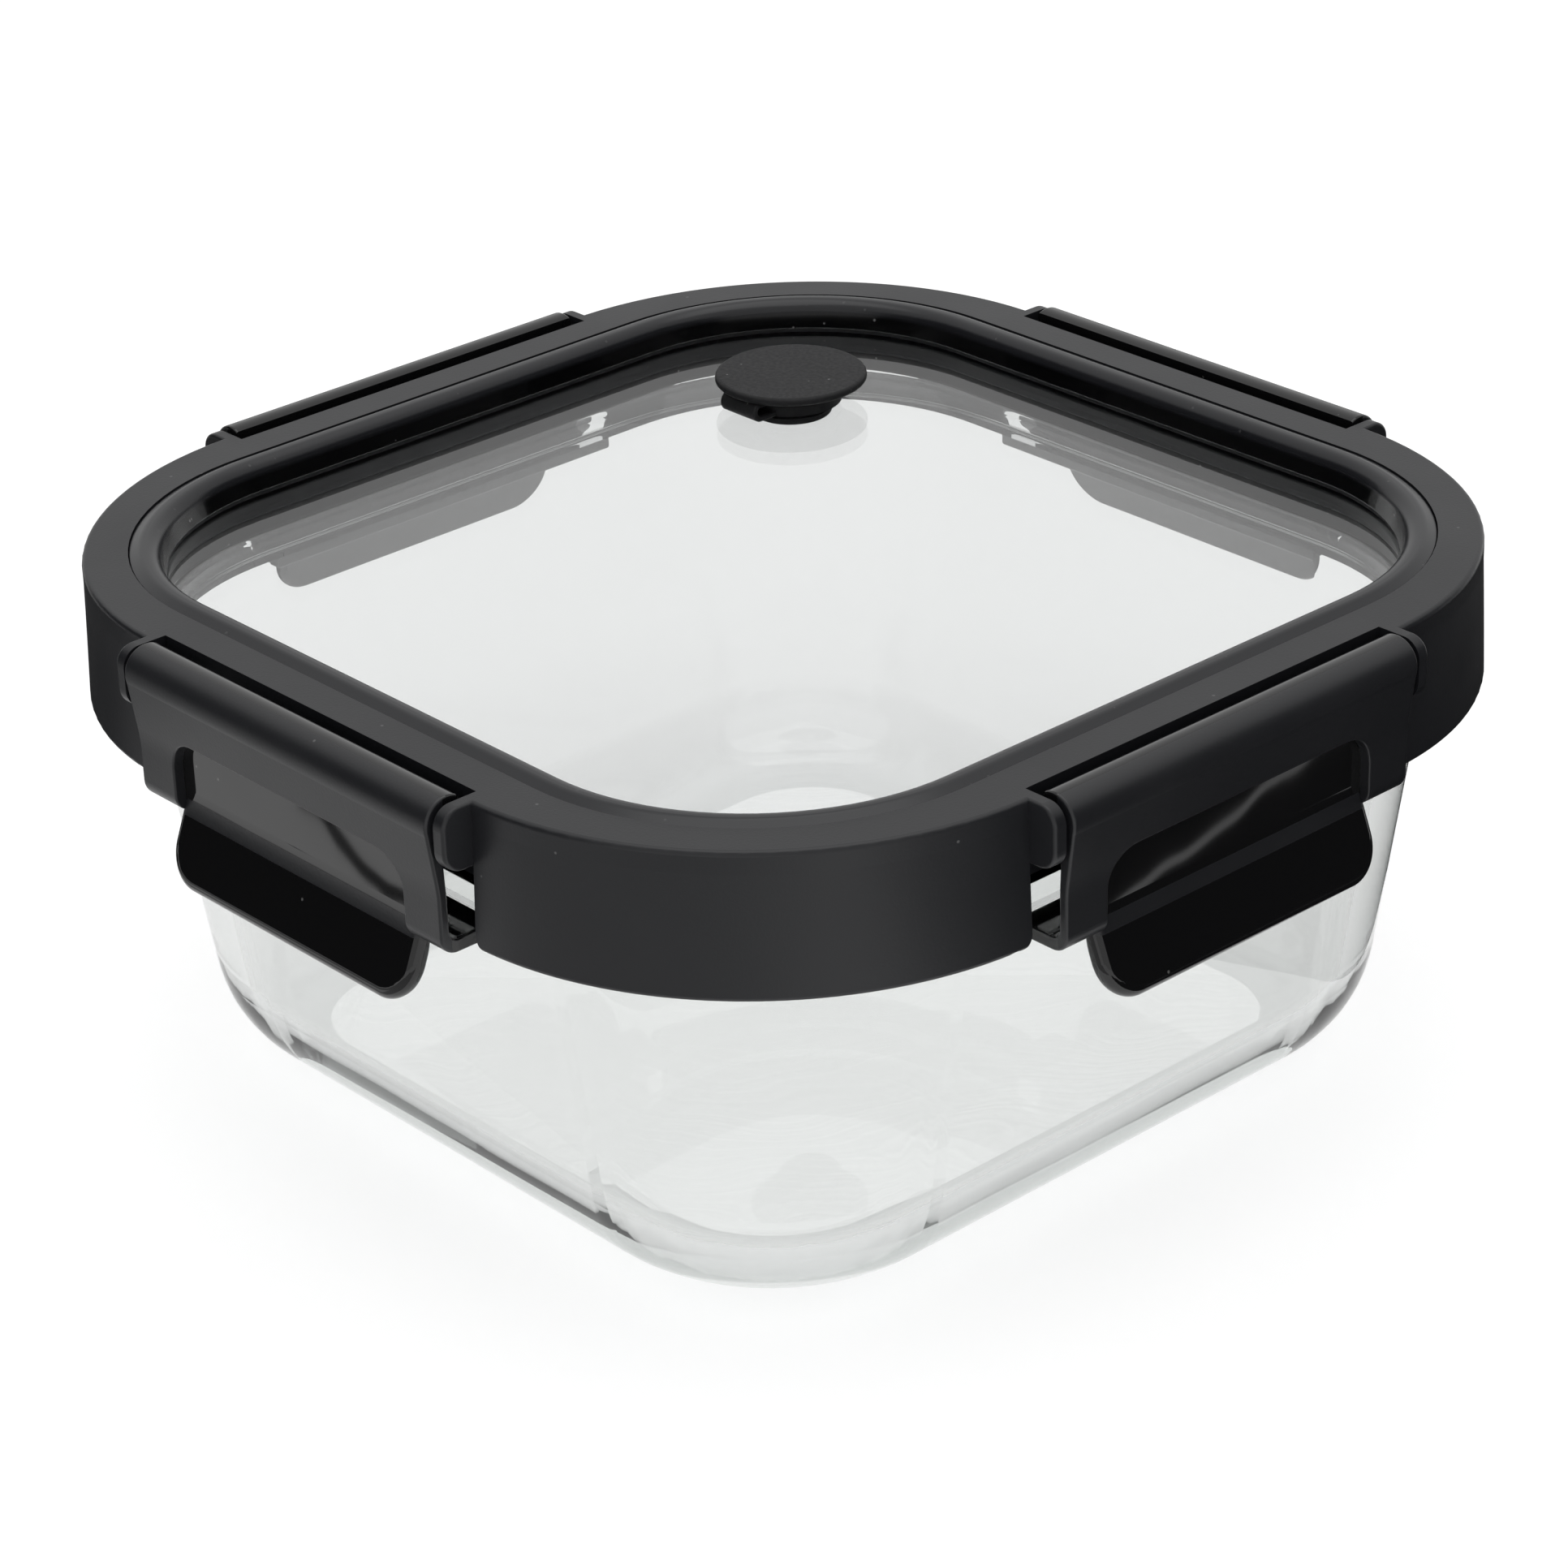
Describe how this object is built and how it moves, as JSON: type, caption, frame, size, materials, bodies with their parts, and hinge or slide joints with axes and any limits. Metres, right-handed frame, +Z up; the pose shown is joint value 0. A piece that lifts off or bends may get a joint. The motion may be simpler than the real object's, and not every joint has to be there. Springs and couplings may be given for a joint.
{
  "type": "glass food storage container",
  "caption": "Square clear glass food container with a framed lid, clear window, silicone steam vent and a snap latch on each side.",
  "frame": {"origin": "centre of the dish's flat underside, on the surface it stands on", "axes": "+Z up; +X and +Y square to two neighbouring sides; the vent lies towards -X and +Y"},
  "size_m": [0.1766, 0.1766, 0.0785],
  "materials": {
    "dish_glass": "clear, polished",
    "window_glass": "clear, polished",
    "lid_plastic": "fine satin",
    "bezel_plastic": "gloss",
    "latch_plastic": "satin arm, gloss panel and tab",
    "silicone": "matte"
  },
  "bodies": {
    "dish": {"glass_dish": "dish_glass"},
    "lid": {"lid_frame": "lid_plastic", "lid_skirt": "lid_plastic", "window_bezel": "bezel_plastic", "window_seal": "silicone", "window_glass": "window_glass", "rim_gasket": "silicone", "vent_base": "silicone", "vent_strap": "silicone"},
    "front_latch": {"front_latch": "latch_plastic"},
    "right_latch": {"right_latch": "latch_plastic"},
    "back_latch": {"back_latch": "latch_plastic"},
    "left_latch": {"left_latch": "latch_plastic"},
    "vent_cap": {"vent_cap": "silicone"}
  },
  "joints": [
    {"name": "lid_lift", "type": "slide", "parent": "dish", "child": "lid", "axis": [0, 0, 1], "range_m": [0, 0.022]},
    {"name": "front_latch_swing", "type": "hinge", "parent": "lid", "child": "front_latch", "pos_m": [0, -0.084, 0.0749], "axis": [-1, 0, 0], "range_deg": [0, 127]},
    {"name": "right_latch_swing", "type": "hinge", "parent": "lid", "child": "right_latch", "pos_m": [0.084, 0, 0.0749], "axis": [0, -1, 0], "range_deg": [0, 127]},
    {"name": "back_latch_swing", "type": "hinge", "parent": "lid", "child": "back_latch", "pos_m": [0, 0.084, 0.0749], "axis": [1, 0, 0], "range_deg": [0, 127]},
    {"name": "left_latch_swing", "type": "hinge", "parent": "lid", "child": "left_latch", "pos_m": [-0.084, 0, 0.0749], "axis": [0, 1, 0], "range_deg": [0, 127]},
    {"name": "vent_cap_flip", "type": "hinge", "parent": "lid", "child": "vent_cap", "pos_m": [-0.0417, 0.0293, 0.0768], "axis": [1, 0, 0], "range_deg": [0, 120], "deforming": ["vent_strap"]}
  ],
  "couplings": [
    {"joint": "front_latch_swing", "follows": "lid_lift", "rad_per_m": 100},
    {"joint": "right_latch_swing", "follows": "lid_lift", "rad_per_m": 100},
    {"joint": "back_latch_swing", "follows": "lid_lift", "rad_per_m": 100},
    {"joint": "left_latch_swing", "follows": "lid_lift", "rad_per_m": 100}
  ]
}
